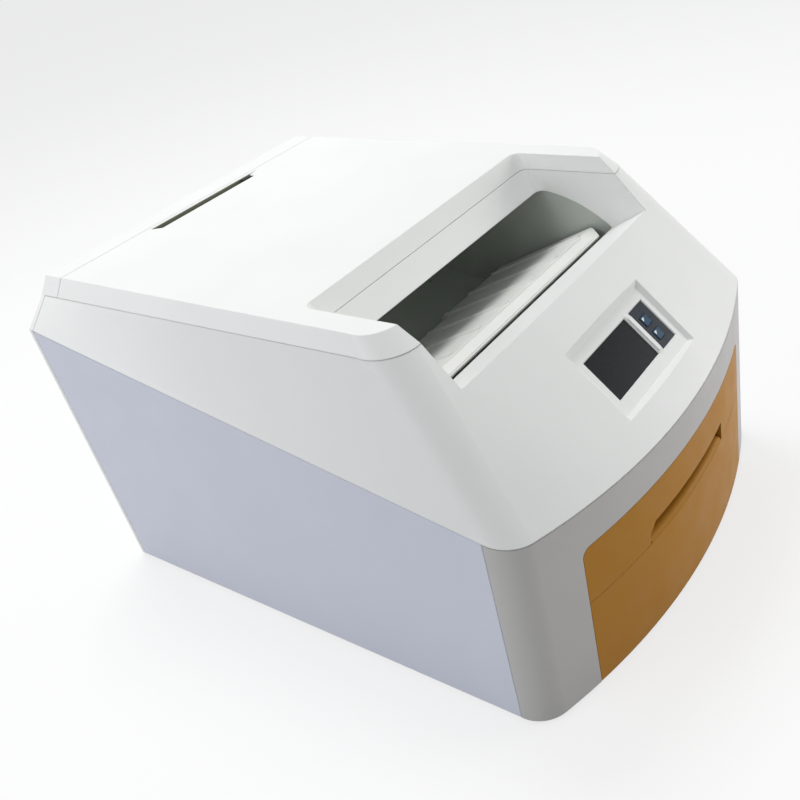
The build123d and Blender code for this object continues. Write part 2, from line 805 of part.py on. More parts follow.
# Cover screws, heads sunk in the rear cover
with BuildPart() as cover_screws:
    with BuildSketch(Plane.XZ.offset(-REAR + 0.3)):
        with Locations(*SCREW_PLACES):
            Circle(3.6)
    extrude(amount=1.5)
    with BuildSketch(Plane.XZ.offset(-REAR + 1)):
        with Locations(*SCREW_PLACES):
            Circle(1.7)
    extrude(amount=9)
    with BuildSketch(Plane.XZ.offset(-REAR + 0.3)):
        with Locations(*SCREW_PLACES):
            Rectangle(4.4, 0.9)
            Rectangle(0.9, 4.4)
    extrude(amount=0.9, mode=Mode.SUBTRACT)
cover_screws.part.label = "cover_screws"
export_step(cover_screws.part, "parts/cover_screws.step")

# Screen: window, display module and key strip in the sloping recess
WINDOW_THICK = 1.5
MODULE_FACE = PANEL_DEPTH + WINDOW_SUNK + WINDOW_THICK
with BuildPart() as lcd_window:
    with BuildSketch(panel_plane(PANEL_DEPTH + WINDOW_SUNK)):
        with Locations(LCD_CENTRE):
            Rectangle(*LCD_SIZE)
    extrude(amount=-WINDOW_THICK)
lcd_window.part.label = "lcd_window"
export_step(lcd_window.part, "parts/lcd_window.step")

with BuildPart() as lcd_module:
    with BuildSketch(panel_plane(MODULE_FACE)):
        with Locations(LCD_CENTRE):
            Rectangle(LCD_SIZE[0] - 1, LCD_SIZE[1] - 1)
    extrude(amount=-2)
    with BuildSketch(panel_plane(MODULE_FACE + 0.7)):
        with Locations(LCD_CENTRE):
            Rectangle(LCD_SIZE[0] + 4, LCD_SIZE[1] + 6)
    extrude(amount=-4)
    with BuildSketch(panel_plane(MODULE_FACE + 4.7)):
        with Locations((-5, LCD_CENTRE[1])):
            Rectangle(150, LCD_SIZE[1] + 6)
    extrude(amount=-1.6)
lcd_module.part.label = "lcd_module"
export_step(lcd_module.part, "parts/lcd_module.step")

with BuildPart() as key_strip:
    with BuildSketch(panel_plane(PANEL_DEPTH + STRIP_SUNK)):
        with Locations(KEYS_CENTRE):
            Rectangle(*KEYS_SIZE)
        with Locations(*[(KEY_X, row) for row in KEY_ROWS]):
            Rectangle(KEY_SIZE + 0.8, KEY_SIZE + 0.8, mode=Mode.SUBTRACT)
    extrude(amount=-WINDOW_THICK)
key_strip.part.label = "key_strip"
export_step(key_strip.part, "parts/key_strip.step")


def key(row):
    """Square key cap with a wider foot that stops it behind the strip."""
    with BuildPart(mode=Mode.PRIVATE) as cap:
        with BuildSketch(panel_plane(PANEL_DEPTH + STRIP_SUNK - 1)):
            with Locations((KEY_X, row)):
                Rectangle(KEY_SIZE, KEY_SIZE)
        extrude(amount=-4)
        chamfer(cap.faces().filter_by(panel_plane()).sort_by(Axis.Z)[-1].edges(), length=0.6)
        with BuildSketch(panel_plane(PANEL_DEPTH + STRIP_SUNK + WINDOW_THICK + 0.1)):
            with Locations((KEY_X, row)):
                Rectangle(KEY_SIZE + 2, KEY_SIZE + 2)
        extrude(amount=-2)
    return cap.part


for key_name, key_row in zip(("upper", "lower"), KEY_ROWS):
    key_part = key(key_row)
    key_part.label = "key_" + key_name
    export_step(key_part, "parts/key_" + key_name + ".step")

# Chassis side plates
ROLLERS = {
    "feed_roller": (205, 121.2),
    "feed_idler": (205, 100.8),
    "lift_roller": (275, 215),
    "lift_idler": (295.4, 215),
    "platen_roller": (271.8, 290),
    "exit_roller": (228, 332.2),
    "exit_idler": (228, 350.8),
}
ROLLER_RADIUS = {
    "feed_roller": 10,
    "feed_idler": 10,
    "lift_roller": 10,
    "lift_idler": 10,
    "platen_roller": 14,
    "exit_roller": 9,
    "exit_idler": 9,
}
PULLEY_RADIUS = {
    "feed_roller": 14,
    "lift_roller": 14,
    "platen_roller": 19.6,
    "exit_roller": 12.6,
}
SHAFT = 4
SHAFT_CLEARANCE = 0.05
BUSH = 6
MOTOR = (150, 215)
MOTOR_PULLEY = 10
PICKUP_PIVOT = (175, 128)
PICKUP_CENTRE = (104, 112)
PICKUP_RADIUS = 12


def chassis_plate(sign):
    """Upright plate that carries slides, rollers, deck and hinge pin."""
    with BuildPart(mode=Mode.PRIVATE) as plate:
        with BuildSketch(Plane.YZ.offset(sign * PLATE_X)):
            with BuildLine():
                Polyline(
                    (-300, BASE_TOP),
                    (-300, 215),
                    (-222, 335),
                    (-206, 370),
                    (-180, 370),
                    (-150, 345),
                    (195, 345),
                    (215, 385),
                    (335, 385),
                    (335, BASE_TOP),
                    close=True,
                )
            make_face()
            with Locations(*ROLLERS.values(), PICKUP_PIVOT):
                Circle(BUSH, mode=Mode.SUBTRACT)
            if sign > 0:
                with Locations(MOTOR):
                    Circle(11, mode=Mode.SUBTRACT)
            with Locations((-60, 250), (60, 250)):
                SlotOverall(80, 30, mode=Mode.SUBTRACT)
        extrude(amount=sign * SHEET)
        near, far = sorted((sign * (PLATE_X + SHEET), sign * (PLATE_X + 16)))
        add(box_between((near, -300, BASE_TOP), (far, 335, BASE_TOP + SHEET)))
    return plate.part


for side_name, side_sign in (("left", -1), ("right", 1)):
    plate_part = chassis_plate(side_sign)
    plate_part.label = "chassis_plate_" + side_name
    export_step(plate_part, "parts/chassis_plate_" + side_name + ".step")

# Bushes for every shaft, flange inside the plate
with BuildPart() as bushes:
    for sign in (-1, 1):
        with BuildSketch(Plane.YZ.offset(sign * (PLATE_X - 2))):
            with Locations(*ROLLERS.values(), PICKUP_PIVOT):
                Circle(8)
                Circle(SHAFT + SHAFT_CLEARANCE, mode=Mode.SUBTRACT)
        extrude(amount=sign * 2)
        with BuildSketch(Plane.YZ.offset(sign * PLATE_X)):
            with Locations(*ROLLERS.values(), PICKUP_PIVOT):
                Circle(BUSH)
                Circle(SHAFT + SHAFT_CLEARANCE, mode=Mode.SUBTRACT)
        extrude(amount=sign * 4)
bushes.part.label = "shaft_bushes"
export_step(bushes.part, "parts/shaft_bushes.step")

# Rollers
ROLLER_HALF = 186
SHAFT_END = 206.5
PULLEY_X = (208, 217)
PULLEY_FLANGE = 0.8


def disc_between(centre, radius, x_from, x_to):
    """Cylinder along X between two stations."""
    with BuildPart(mode=Mode.PRIVATE) as disc:
        with BuildSketch(Plane.YZ.offset(x_from)):
            with Locations(centre):
                Circle(radius)
        extrude(amount=x_to - x_from)
    return disc.part


def roller(name):
    """Roller on its shaft, with a flanged belt pulley where it is driven."""
    centre = ROLLERS[name]
    with BuildPart(mode=Mode.PRIVATE) as body:
        add(disc_between(centre, ROLLER_RADIUS[name], -ROLLER_HALF, ROLLER_HALF))
        chamfer(body.edges().filter_by(GeomType.CIRCLE), length=1)
        add(disc_between(centre, SHAFT, -SHAFT_END, SHAFT_END))
        if name in PULLEY_RADIUS:
            add(disc_between(centre, SHAFT, SHAFT_END, PULLEY_X[1] + 1))
            add(disc_between(centre, PULLEY_RADIUS[name], *PULLEY_X))
            for x in PULLEY_X:
                rim = PULLEY_RADIUS[name] + 2.5
                add(disc_between(centre, rim, x - PULLEY_FLANGE / 2, x + PULLEY_FLANGE / 2))
    return body.part


for roller_name in ROLLERS:
    roller_part = roller(roller_name)
    roller_part.label = roller_name
    export_step(roller_part, "parts/" + roller_name + ".step")

# Timing belt round the outside of all the pulleys
BELT_GAP = 0.35
BELT_THICK = 1.4
PULLEYS = [(ROLLERS[name], radius) for name, radius in PULLEY_RADIUS.items()] + [(MOTOR, MOTOR_PULLEY)]


def belt_loop(extra):
    """Tight loop round the pulleys, standing off from them by extra."""
    with BuildSketch(Plane.XY, mode=Mode.PRIVATE) as loop:
        with BuildLine():
            for centre, radius in PULLEYS:
                CenterArc(centre, radius + extra, 0, 360)
        make_hull()
    return Plane.YZ.offset(PULLEY_X[0] + 1) * loop.sketch


BELT_WIDTH = PULLEY_X[1] - PULLEY_X[0] - 2
with BuildPart() as timing_belt:
    extrude(belt_loop(BELT_GAP + BELT_THICK), amount=BELT_WIDTH)
    extrude(belt_loop(BELT_GAP), amount=BELT_WIDTH, mode=Mode.SUBTRACT)
timing_belt.part.label = "timing_belt"
export_step(timing_belt.part, "parts/timing_belt.step")

# Drive motor and its pulley
with BuildPart() as drive_motor:
    with BuildSketch(Plane.YZ.offset(PLATE_X)):
        with Locations(MOTOR):
            RectangleRounded(42, 42, 5)
    extrude(amount=-46)
    add(disc_between(MOTOR, 10.7, PLATE_X, PLATE_X + 3))
    add(disc_between(MOTOR, 2.55, PLATE_X - 20, PLATE_X + 4), mode=Mode.SUBTRACT)
drive_motor.part.label = "drive_motor"
export_step(drive_motor.part, "parts/drive_motor.step")

with BuildPart() as motor_pulley:
    add(disc_between(MOTOR, 2.5, PLATE_X - 18, PULLEY_X[1] + 1))
    add(disc_between(MOTOR, MOTOR_PULLEY, *PULLEY_X))
    for x in PULLEY_X:
        add(disc_between(MOTOR, MOTOR_PULLEY + 2.5, x - PULLEY_FLANGE / 2, x + PULLEY_FLANGE / 2))
motor_pulley.part.label = "motor_pulley"
export_step(motor_pulley.part, "parts/motor_pulley.step")

# Pick-up arm on a through shaft, with its roller between the fork ends
with BuildPart() as pickup_arm:
    add(disc_between(PICKUP_PIVOT, SHAFT, -SHAFT_END, SHAFT_END))
    for x in (-34, 30):
        with BuildSketch(Plane.YZ.offset(x)):
            with BuildLine():
                Polyline(
                    (PICKUP_PIVOT[0], PICKUP_PIVOT[1] + 8),
                    (PICKUP_CENTRE[0], PICKUP_CENTRE[1] + 7),
                    (PICKUP_CENTRE[0], PICKUP_CENTRE[1] - 7),
                    (PICKUP_PIVOT[0], PICKUP_PIVOT[1] - 8),
                    close=True,
                )
            make_face()
            with Locations(PICKUP_PIVOT):
                Circle(8)
            with Locations(PICKUP_CENTRE):
                Circle(7)
            with Locations(PICKUP_CENTRE):
                Circle(3.05, mode=Mode.SUBTRACT)
        extrude(amount=4)
    add(box_between((-34, 150, 124), (34, 160, 128)))
pickup_arm.part.label = "pickup_arm"
export_step(pickup_arm.part, "parts/pickup_arm.step")

with BuildPart() as pickup_roller:
    add(disc_between(PICKUP_CENTRE, PICKUP_RADIUS, -28, 28))
    chamfer(pickup_roller.edges().filter_by(GeomType.CIRCLE), length=1)
    add(disc_between(PICKUP_CENTRE, 3, -36, 36))
pickup_roller.part.label = "pickup_roller"
export_step(pickup_roller.part, "parts/pickup_roller.step")

# Film guides: two nested sheets that turn the film upward and forward again
GUIDE_HALF = 180
TURN_CENTRE = (218, 176)
TURN_RADIUS = 67.5
EXIT_CENTRE = (244, 302)
EXIT_RADIUS = 41.5
FILM_GAP = 2.5
FILM_Y = TURN_CENTRE[0] + TURN_RADIUS


def guide_sheet(offset_out):
    """Guide sheet at a distance from the film path, outside when positive."""
    sheet = 1.2 if offset_out > 0 else -1.2
    with BuildPart(mode=Mode.PRIVATE) as guide:
        with BuildSketch(Plane.YZ.offset(-GUIDE_HALF)):
            for centre, radius, begin in (
                (TURN_CENTRE, TURN_RADIUS + offset_out, 270),
                (EXIT_CENTRE, EXIT_RADIUS + offset_out, 8),
            ):
                sweep_angle = 90 if begin == 270 else 76
                with BuildLine():
                    inner = CenterArc(centre, radius, begin, sweep_angle)
                    outer = CenterArc(centre, radius + sheet, begin, sweep_angle)
                    Line(inner @ 0, outer @ 0)
                    Line(inner @ 1, outer @ 1)
                make_face()
            low_y, high_y = sorted((FILM_Y + offset_out, FILM_Y + offset_out + sheet))
            for z_from, z_to in ((TURN_CENTRE[1], 200), (230, 268)):
                with BuildLine():
                    Polyline((low_y, z_from), (high_y, z_from), (high_y, z_to), (low_y, z_to), close=True)
                make_face()
        extrude(amount=2 * GUIDE_HALF)
        with BuildSketch(Plane.YZ.offset(-PLATE_X)):
            with BuildLine():
                inner = CenterArc(EXIT_CENTRE, EXIT_RADIUS + offset_out, 36, 16)
                outer = CenterArc(EXIT_CENTRE, EXIT_RADIUS + offset_out + sheet, 36, 16)
                Line(inner @ 0, outer @ 0)
                Line(inner @ 1, outer @ 1)
            make_face()
        extrude(amount=2 * PLATE_X)
        for sign in (-1, 1):
            near, far = sorted((sign * GUIDE_HALF, sign * PLATE_X))
            rear = FILM_Y + offset_out
            for z in (180, 240):
                add(box_between((near, min(rear, rear + sheet), z), (far, max(rear, rear + sheet), z + 14)))
    return guide.part


guide_inner = guide_sheet(-FILM_GAP)
guide_inner.label = "film_guide_inner"
export_step(guide_inner, "parts/film_guide_inner.step")
guide_outer = guide_sheet(FILM_GAP)
guide_outer.label = "film_guide_outer"
export_step(guide_outer, "parts/film_guide_outer.step")

# Print head pressed toward the platen, and the finned heat sink behind it
HEAD_Y = ROLLERS["platen_roller"][0] + ROLLER_RADIUS["platen_roller"] + 0.4
with BuildPart() as print_head:
    add(box_between((-184, HEAD_Y, 286), (184, HEAD_Y + 3, 294)))
    add(box_between((-184, HEAD_Y + 3, 272), (184, HEAD_Y + 9, 312)))
print_head.part.label = "print_head"
export_step(print_head.part, "parts/print_head.step")

with BuildPart() as heat_sink:
    add(box_between((-190, HEAD_Y + 9, 266), (190, HEAD_Y + 14, 318)))
    with BuildSketch(Plane.XZ.offset(-(HEAD_Y + 14))):
        with Locations((0, 292)):
            with GridLocations(10, 0, 38, 1):
                Rectangle(1.6, 48)
    extrude(amount=-22)
    for sign in (-1, 1):
        near, far = sorted((sign * 190, sign * PLATE_X))
        add(box_between((near, HEAD_Y + 9, 270), (far, HEAD_Y + 14, 314)))
heat_sink.part.label = "heat_sink"
export_step(heat_sink.part, "parts/heat_sink.step")

# Top crossbar with the keeper flange for the lid lock
KEEPER_LOW = 387
with BuildPart() as top_crossbar:
    add(box_between((-PLATE_X, 318, 350), (PLATE_X, 318 + SHEET, KEEPER_LOW + 2)))
    add(box_between((-PLATE_X, 318, 350), (PLATE_X, 333, 350 + SHEET)))
    add(box_between((-40, 313.5, KEEPER_LOW), (110, 333, KEEPER_LOW + 2)))
top_crossbar.part.label = "top_crossbar"
export_step(top_crossbar.part, "parts/top_crossbar.step")

# Front crossbar behind the fascia
with BuildPart() as front_crossbar:
    add(box_between((-197.6, -318, 150), (197.6, -318 + SHEET, 190)))
    for z in (150, 190 - SHEET):
        add(box_between((-197.6, -318, z), (197.6, -303, z + SHEET)))
        add(box_between((-PLATE_X, -303, z), (PLATE_X, -290, z + SHEET)))
    for sign in (-1, 1):
        near, far = sorted((sign * (PLATE_X - SHEET), sign * PLATE_X))
        add(box_between((near, -300, 150), (far, -290, 190)))
front_crossbar.part.label = "front_crossbar"
export_step(front_crossbar.part, "parts/front_crossbar.step")

# Deck plate between drawer and electronics
DECK_Z = 152
with BuildPart() as deck_plate:
    add(box_between((-PLATE_X, -250, DECK_Z), (PLATE_X, 125, DECK_Z + SHEET)))
    for sign in (-1, 1):
        near, far = sorted((sign * (PLATE_X - SHEET), sign * PLATE_X))
        add(box_between((near, -250, DECK_Z), (far, 125, DECK_Z + 18)))
    with BuildSketch(Plane.XY.offset(DECK_Z)):
        with Locations((0, -235), (0, 110)):
            SlotOverall(60, 14)
    extrude(amount=SHEET, mode=Mode.SUBTRACT)
deck_plate.part.label = "deck_plate"
export_step(deck_plate.part, "parts/deck_plate.step")

# Power supply in a vented case
DECK_TOP = DECK_Z + SHEET
with BuildPart() as power_supply:
    add(box_between((-180, -220, DECK_TOP), (-60, -20, DECK_TOP + 62)))
    offset(amount=-1.2, openings=power_supply.faces().sort_by(Axis.Z)[0])
    with BuildSketch(Plane.XY.offset(DECK_TOP + 55)):
        with Locations((-120, -120)):
            with GridLocations(14, 24, 7, 7):
                SlotOverall(18, 5, rotation=90)
    extrude(amount=20, mode=Mode.SUBTRACT)
    with BuildSketch(Plane.XY.offset(DECK_TOP)):
        with Locations((-120, -120)):
            Rectangle(118, 198)
    extrude(amount=1.2)
power_supply.part.label = "power_supply"
export_step(power_supply.part, "parts/power_supply.step")

# Main board on stand-offs
BOARD_Z = DECK_TOP + 8
with BuildPart() as main_board:
    add(box_between((-40, -220, BOARD_Z), (180, 20, BOARD_Z + 1.6)))
    with BuildSketch(Plane.XY.offset(DECK_TOP)):
        with Locations((70, -100)):
            with GridLocations(208, 228, 2, 2):
                Circle(3)
    extrude(amount=BOARD_Z - DECK_TOP)
    for low, size in (
        ((20, -150), (38, 38, 3)),
        ((90, -160), (24, 24, 3)),
        ((-25, -60), (18, 60, 14)),
        ((150, -180), (16, 70, 12)),
        ((60, -30), (90, 12, 12)),
        ((120, -90), (16, 16, 22)),
        ((90, -90), (16, 16, 22)),
    ):
        add(box_between(
            (low[0], low[1], BOARD_Z + 1.6),
            (low[0] + size[0], low[1] + size[1], BOARD_Z + 1.6 + size[2]),
        ))
main_board.part.label = "main_board"
export_step(main_board.part, "parts/main_board.step")

# Output bin: well under the outlet with a shelf from the exit rollers behind it
BIN_HALF = 199.5
BIN_WALL = 1.6
BIN_FRONT = -200
BIN_BACK = 202
BIN_HIGH = 372
WELL_FLOOR = 222
WELL_BACK = (101, 242.5)
FLOOR_BEND_Y = -20
SHELF_Z = 304
EXIT_SLOT = (185, 334)
DRAIN = (156, 93)
TAB_Z = (326, 342)
with BuildPart() as output_bin:
    for inner in (0, BIN_WALL):
        with BuildSketch(Plane.YZ.offset(-BIN_HALF + inner)):
            with BuildLine():
                Polyline(
                    (BIN_FRONT + inner, WELL_FLOOR - BIN_WALL + inner),
                    (FLOOR_BEND_Y, WELL_FLOOR - BIN_WALL + inner),
                    (WELL_BACK[0] + BIN_WALL - inner, WELL_BACK[1] - BIN_WALL + inner),
                    (WELL_BACK[0] + BIN_WALL - inner, SHELF_Z - BIN_WALL + inner),
                    (BIN_BACK - inner, SHELF_Z - BIN_WALL + inner),
                    (BIN_BACK - inner, BIN_HIGH + inner),
                    (BIN_FRONT + inner, BIN_HIGH + inner),
                    close=True,
                )
            make_face()
        extrude(amount=2 * (BIN_HALF - inner), mode=Mode.SUBTRACT if inner else Mode.ADD)
    add(box_between(
        (-BIN_HALF + BIN_WALL, BIN_FRONT - 1, SILL_REAR[1]),
        (BIN_HALF - BIN_WALL, BIN_FRONT + BIN_WALL + 1, TOP),
    ), mode=Mode.SUBTRACT)
    add(box_between(
        (-EXIT_SLOT[0], BIN_BACK - BIN_WALL - 1, EXIT_SLOT[1]),
        (EXIT_SLOT[0], BIN_BACK + 1, TOP),
    ), mode=Mode.SUBTRACT)
    with BuildSketch(Plane.XY.offset(WELL_FLOOR)):
        with Locations(DRAIN):
            Circle(2.5)
    extrude(amount=30, mode=Mode.SUBTRACT)
    for sign in (-1, 1):
        near, far = sorted((sign * (BIN_HALF - BIN_WALL), sign * PLATE_X))
        for y in (-150, 120):
            add(box_between((near, y, TAB_Z[0]), (far, y + 24, TAB_Z[1])))
output_bin.part.label = "output_bin"
export_step(output_bin.part, "parts/output_bin.step")

# Output ramp: level bar, plate falling to the rear with low ribs, webs below
RAMP_HALF = 193
RAMP_SKIN = 2.5
BAR_FRONT = -172.6
BAR_CORNER = 18
BAR_BACK = -151
BAR_TOP = 326.5
RAMP_FALL = 0.483
RAMP_BACK = -6
RAMP_NOTCH = (50, -21)
RIB_PITCH = 55.5
RIBS_EACH_SIDE = 3
RIB_HIGH = 2.2
WEB_PLACES = (-168, -84, 0, 84, 168)


def ramp_z(y):
    """Height of the falling plate at y."""
    return BAR_TOP - RAMP_FALL * (y - BAR_BACK)


with BuildPart() as output_ramp:
    with BuildSketch(Plane.XY.offset(WELL_FLOOR)):
        with BuildLine():
            Polyline(
                (-RAMP_HALF, BAR_FRONT),
                (RAMP_HALF, BAR_FRONT),
                (RAMP_HALF, RAMP_BACK),
                (RAMP_NOTCH[0], RAMP_BACK),
                (RAMP_NOTCH[0], RAMP_NOTCH[1]),
                (-RAMP_NOTCH[0], RAMP_NOTCH[1]),
                (-RAMP_NOTCH[0], RAMP_BACK),
                (-RAMP_HALF, RAMP_BACK),
                close=True,
            )
        plan = make_face()
        chamfer(plan.vertices().group_by(Axis.Y)[0], length=BAR_CORNER)
        fillet(plan.vertices().group_by(Axis.Y)[-1].sort_by(Axis.X)[0::3], radius=8)
    extrude(amount=BAR_TOP - WELL_FLOOR)
    back_low = ramp_z(RAMP_BACK) - 5
    add(across(
        (BAR_FRONT, BAR_TOP - RAMP_SKIN),
        (BAR_FRONT, BAR_TOP),
        (BAR_BACK, BAR_TOP),
        (RAMP_BACK - 1.5, ramp_z(RAMP_BACK - 1.5)),
        (RAMP_BACK, ramp_z(RAMP_BACK) - 1.8),
        (RAMP_BACK, back_low),
        (RAMP_BACK - RAMP_SKIN, back_low),
        (RAMP_BACK - RAMP_SKIN - 1, ramp_z(RAMP_BACK - RAMP_SKIN - 1) - RAMP_SKIN),
        (BAR_BACK - 1, BAR_TOP - RAMP_SKIN),
    ), mode=Mode.INTERSECT)
    lean = sqrt(1 + RAMP_FALL**2)
    for step in range(-RIBS_EACH_SIDE, RIBS_EACH_SIDE + 1):
        x = step * RIB_PITCH
        end = RAMP_NOTCH[1] if abs(x) < RAMP_NOTCH[0] else RAMP_BACK
        with BuildSketch(Plane(
            origin=(x, BAR_BACK + 1, ramp_z(BAR_BACK + 1)),
            x_dir=(1, 0, 0),
            z_dir=(0, 1 / lean, -RAMP_FALL / lean),
        )):
            with BuildLine():
                Polyline((-4.5, 0.5), (-2, -RIB_HIGH), (2, -RIB_HIGH), (4.5, 0.5), close=True)
            make_face()
        extrude(amount=(end - BAR_BACK - 4) * lean)
    below_ramp = across(
        (BAR_FRONT, ramp_z(BAR_FRONT) - 1),
        (RAMP_BACK, ramp_z(RAMP_BACK) - 1),
        (RAMP_BACK, WELL_FLOOR - 5),
        (BAR_FRONT, WELL_FLOOR - 5),
    )
    for x in WEB_PLACES:
        web = box_between(
            (x - 1, BAR_FRONT + 14, WELL_FLOOR),
            (x + 1, FLOOR_BEND_Y - 8, BAR_TOP - 1),
        )
        add(web & below_ramp)
    for y in (BAR_FRONT + 2.5, BAR_BACK - 2):
        add(box_between(
            (-165, y - 0.4, BAR_TOP - 0.5),
            (165, y + 0.4, BAR_TOP + 1),
        ), mode=Mode.SUBTRACT)
output_ramp.part.label = "output_ramp"
export_step(output_ramp.part, "parts/output_ramp.step")

# Film tray
TRAY_HALF = 187.5
TRAY_LOW = 14
TRAY_HIGH = 92
TRAY_BACK = 150
TRAY_BACK_HIGH = 60
with BuildPart() as film_tray:
    add(box_between((-TRAY_HALF, TRAY_FRONT, TRAY_LOW), (TRAY_HALF, TRAY_BACK, TRAY_HIGH)))
    offset(amount=-SHEET, openings=film_tray.faces().sort_by(Axis.Z)[-1])
    add(box_between(
        (-TRAY_HALF + 12, TRAY_BACK - 3, TRAY_BACK_HIGH),
        (TRAY_HALF - 12, TRAY_BACK + 3, TRAY_HIGH + 1),
    ), mode=Mode.SUBTRACT)
    with BuildSketch(Plane.XY.offset(TRAY_LOW)):
        with GridLocations(110, 140, 3, 3):
            SlotOverall(70, 16)
    extrude(amount=SHEET, mode=Mode.SUBTRACT)
film_tray.part.label = "film_tray"
export_step(film_tray.part, "parts/film_tray.step")

# Telescopic slides: channel on the chassis, middle channel, channel on the tray
SLIDE_FRONT = -298
SLIDE_BACK = 150


def channel(sign, web, lips_to, z_low, z_high):
    """Channel along Y from its web to the lip ends, opening toward the tray."""
    with BuildPart(mode=Mode.PRIVATE) as rail:
        gauge = 1.4
        inward = -1 if lips_to < web else 1
        spans = [
            (web, web + inward * gauge, z_low, z_high),
            (web, lips_to, z_low, z_low + gauge),
            (web, lips_to, z_high - gauge, z_high),
        ]
        for x_a, x_b, z_a, z_b in spans:
            near, far = sorted((sign * x_a, sign * x_b))
            add(box_between((near, SLIDE_FRONT, z_a), (far, SLIDE_BACK, z_b)))
    return rail.part


SLIDE_STAGES = {
    "slide_outer": (PLATE_X, 190, 38, 87),
    "slide_middle": (197.4, 191, 41, 84),
    "slide_inner": (TRAY_HALF, 194.5, 45, 80),
}
for side_name, side_sign in (("left", -1), ("right", 1)):
    for stage_name, stage in SLIDE_STAGES.items():
        rail_part = channel(side_sign, *stage)
        rail_part.label = stage_name + "_" + side_name
        export_step(rail_part, "parts/" + stage_name + "_" + side_name + ".step")

# Rear connectors
SOCKET_FLOOR = 338


def socket_block(place, half_wide, half_high, y_from, y_to):
    """Block centred on a place (x, z) of the back panel."""
    return box_between(
        (place[0] - half_wide, y_from, place[1] - half_high),
        (place[0] + half_wide, y_to, place[1] + half_high),
    )


with BuildPart() as power_inlet:
    add(socket_block(INLET, 13.5, 10, SOCKET_FLOOR - 13, REAR - 0.6))
    add(socket_block(INLET, 18, 14, BACK_FACE - 2, BACK_FACE))
    add(socket_block(INLET, 11, 7.5, SOCKET_FLOOR, REAR), mode=Mode.SUBTRACT)
    for dx, dz in ((-7, -2), (7, -2), (0, 2)):
        pin = (INLET[0] + dx, INLET[1] + dz)
        add(socket_block(pin, 1, 2, SOCKET_FLOOR, SOCKET_FLOOR + 14))
power_inlet.part.label = "power_inlet"
export_step(power_inlet.part, "parts/power_inlet.step")

ROCKER_TILT = 8
ROCKER_Y = 349
with BuildPart() as rocker_frame:
    add(socket_block(ROCKER, 9.5, 14, SOCKET_FLOOR - 10, REAR - 0.8))
    add(socket_block(ROCKER, 12, 17, BACK_FACE - 2, BACK_FACE))
    add(socket_block(ROCKER, 7.5, 12, SOCKET_FLOOR, REAR), mode=Mode.SUBTRACT)
    with BuildSketch(Plane.YZ.offset(ROCKER[0] - 9)):
        with Locations((ROCKER_Y, ROCKER[1])):
            Circle(1.55)
    extrude(amount=18, mode=Mode.SUBTRACT)
rocker_frame.part.label = "rocker_frame"
export_step(rocker_frame.part, "parts/rocker_frame.step")

with BuildPart() as power_rocker:
    with BuildSketch(Plane.YZ.offset(ROCKER[0] - 6.8)):
        with BuildLine():
            Polyline(
                (ROCKER_Y - 3.5, ROCKER[1] - 8),
                (ROCKER_Y - 3.5, ROCKER[1] + 8),
                (ROCKER_Y + 4, ROCKER[1] + 10),
                (ROCKER_Y + 3, ROCKER[1]),
                (ROCKER_Y + 4, ROCKER[1] - 10),
                close=True,
            )
        make_face()
    extrude(amount=13.6)
    add(disc_between((ROCKER_Y, ROCKER[1]), 1.5, ROCKER[0] - 9, ROCKER[0] + 9))
rocker_part = power_rocker.part.rotate(
    Axis((ROCKER[0], ROCKER_Y, ROCKER[1]), (1, 0, 0)), -ROCKER_TILT
)
rocker_part.label = "power_rocker"
export_step(rocker_part, "parts/power_rocker.step")

with BuildPart() as network_port:
    jack = (PORT[0], PORT[1] - 0.5)
    add(socket_block(PORT, 9, 7.5, SOCKET_FLOOR - 8, REAR - 1))
    add(socket_block(jack, 6, 4, SOCKET_FLOOR + 4, REAR), mode=Mode.SUBTRACT)
    add(socket_block(PORT, 12, 10, BACK_FACE - 1.5, BACK_FACE))
    add(socket_block(jack, 6, 4, BACK_FACE - 2, BACK_FACE + 1), mode=Mode.SUBTRACT)
network_port.part.label = "network_port"
export_step(network_port.part, "parts/network_port.step")

# Fan: square frame with a hub carrier, and the rotor on its pin
FAN_SIZE = 80
FAN_FRONT = BACK_FACE - 25
with BuildPart() as fan_frame:
    with BuildSketch(Plane.XZ.offset(-BACK_FACE)):
        with Locations(FAN):
            RectangleRounded(FAN_SIZE, FAN_SIZE, 5)
            Circle(FAN_OPENING + 2, mode=Mode.SUBTRACT)
    extrude(amount=25)
    with BuildSketch(Plane.XZ.offset(-(FAN_FRONT + 4))):
        with Locations(FAN):
            Circle(16)
            with PolarLocations(25, 4, start_angle=45):
                Rectangle(28, 4)
            Circle(2.05, mode=Mode.SUBTRACT)
    extrude(amount=4)
fan_frame.part.label = "fan_frame"
export_step(fan_frame.part, "parts/fan_frame.step")

BLADES = 7
BLADE_PITCH = radians(40)
BLADE_Y = BACK_FACE - 11
with BuildPart() as fan_rotor:
    with BuildSketch(Plane.XZ.offset(-(BACK_FACE - 2))):
        with Locations(FAN):
            Circle(16)
    extrude(amount=18)
    for number in range(BLADES):
        turn = radians(360 / BLADES * number)
        outward = (cos(turn), 0, sin(turn))
        chord = (-sin(turn) * cos(BLADE_PITCH), sin(BLADE_PITCH), cos(turn) * cos(BLADE_PITCH))
        root = (FAN[0] + 15 * outward[0], BLADE_Y, FAN[1] + 15 * outward[2])
        with BuildSketch(Plane(origin=root, x_dir=chord, z_dir=outward)):
            Rectangle(20, 1.4)
        extrude(amount=19.5)
    with BuildSketch(Plane.XZ.offset(-(BACK_FACE - 4))):
        with Locations(FAN):
            Circle(2)
    extrude(amount=20)
fan_rotor.part.label = "fan_rotor"
export_step(fan_rotor.part, "parts/fan_rotor.step")
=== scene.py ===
import math

import bmesh
import bpy
from mathutils import Matrix, Vector


